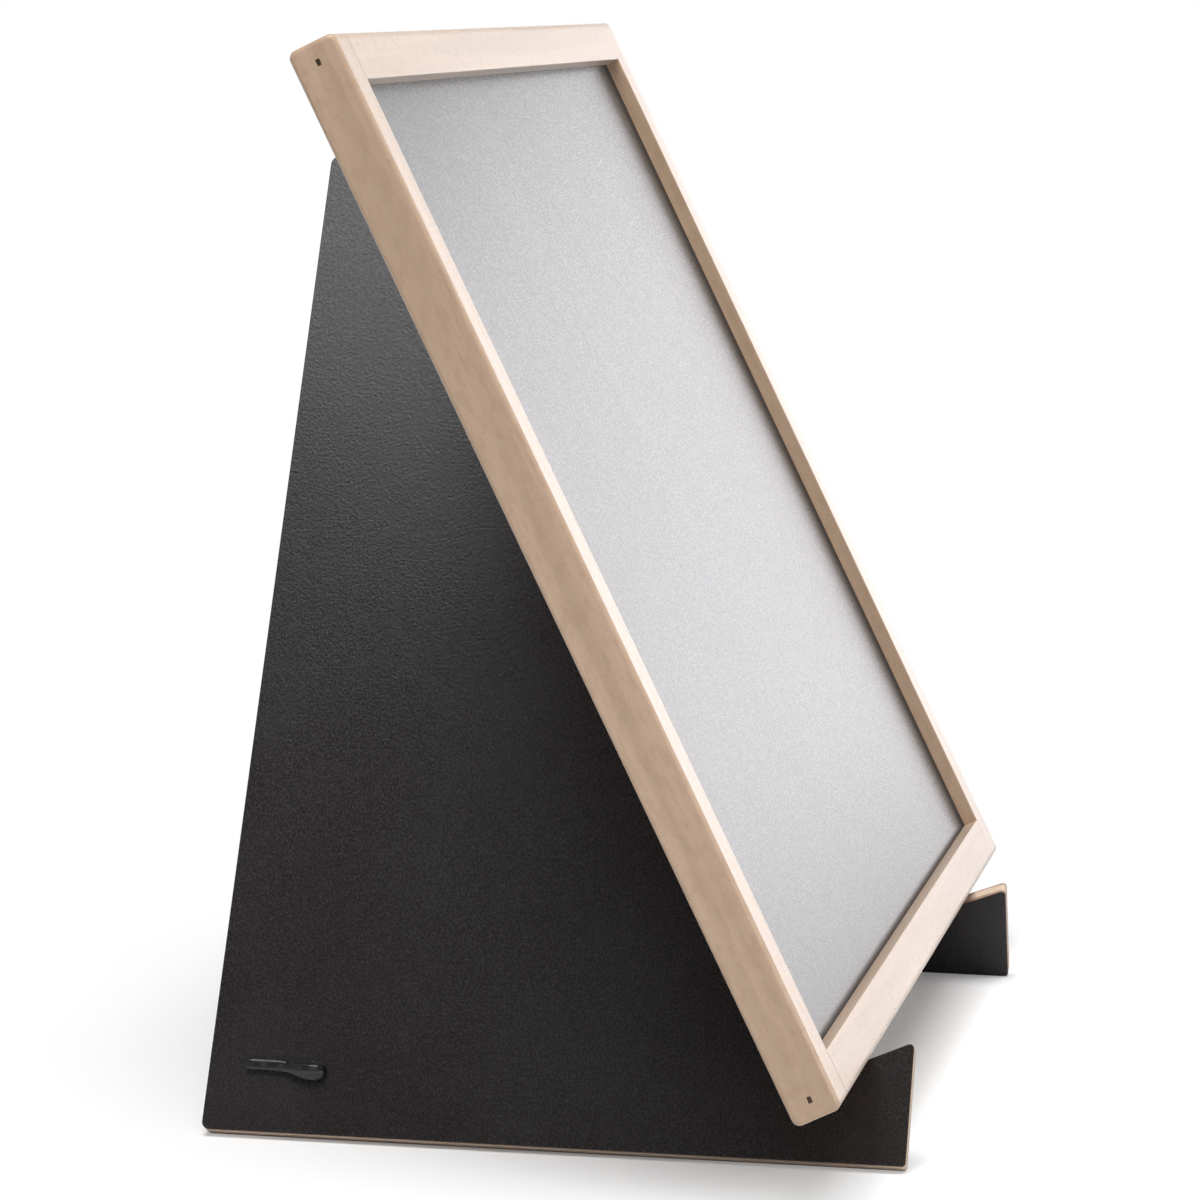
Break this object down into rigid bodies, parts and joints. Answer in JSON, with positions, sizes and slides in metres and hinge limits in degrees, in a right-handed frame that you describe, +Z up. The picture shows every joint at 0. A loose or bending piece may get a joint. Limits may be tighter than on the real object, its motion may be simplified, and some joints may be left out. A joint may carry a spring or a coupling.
{
  "type": "tabletop chalkboard",
  "caption": "Framed chalkboard leaning on a folding stand of two black wings with toes, hinged along the ridge, with a folding stay.",
  "frame": {"origin": "on the table, at the centre of the stand's footprint", "axes": "+X to the right as a reader sees the board, +Y from the front to the back, +Z up"},
  "size_m": [0.436, 0.214, 0.3323],
  "materials": {
    "frame_wood": "oiled pale beech",
    "panel_board": "matt black writing coat on brown hardboard",
    "brad_steel": "dull, set below the surface",
    "wing_board": "matt black faces on a brown board, raw cut edges",
    "hinge_steel": "zinc plated",
    "rivet_steel": "blackened",
    "stay_plastic": "moulded black nylon",
    "pin_steel": "bright drawn wire"
  },
  "bodies": {
    "left_stand": {"left_wing": "wing_board", "hinge_leaf_left": "hinge_steel", "hinge_pin": "pin_steel", "hinge_rivets_left": "rivet_steel", "stay_eye_left": "stay_plastic", "stay_head_left": "stay_plastic", "stay_pin_left": "pin_steel"},
    "right_stand": {"right_wing": "wing_board", "hinge_leaf_right": "hinge_steel", "hinge_rivets_right": "rivet_steel", "stay_eye_right": "stay_plastic", "stay_head_right": "stay_plastic", "stay_pin_right": "pin_steel"},
    "fork_link": {"stay_fork": "stay_plastic", "stay_mid_rivets": "pin_steel"},
    "blade_link": {"stay_blade": "stay_plastic"},
    "board": {"left_stile": "frame_wood", "right_stile": "frame_wood", "top_rail": "frame_wood", "bottom_rail": "frame_wood", "chalk_panel": "panel_board", "corner_brads": "brad_steel"}
  },
  "joints": [
    {"name": "ridge_fold", "type": "hinge", "parent": "left_stand", "child": "right_stand", "pos_m": [0, 0.075, 0.28995], "axis": [0, 1, 0], "range_deg": [0, 51]},
    {"name": "fork_fold", "type": "hinge", "parent": "left_stand", "child": "fork_link", "pos_m": [-0.1368, 0.0826, 0.01624], "axis": [0, -1, 0], "range_deg": [0, 62.34]},
    {"name": "blade_fold", "type": "hinge", "parent": "right_stand", "child": "blade_link", "pos_m": [0.1368, 0.0826, 0.01624], "axis": [0, 1, 0], "range_deg": [0, 62.34]},
    {"name": "board_lift", "type": "slide", "parent": "left_stand", "child": "board", "axis": [0, 0, 1], "range_m": [0, 0.06]}
  ],
  "couplings": [
    {"joint": "fork_fold", "follows": "ridge_fold", "ratio": 1.2183},
    {"joint": "blade_fold", "follows": "ridge_fold", "ratio": 1.2183}
  ]
}
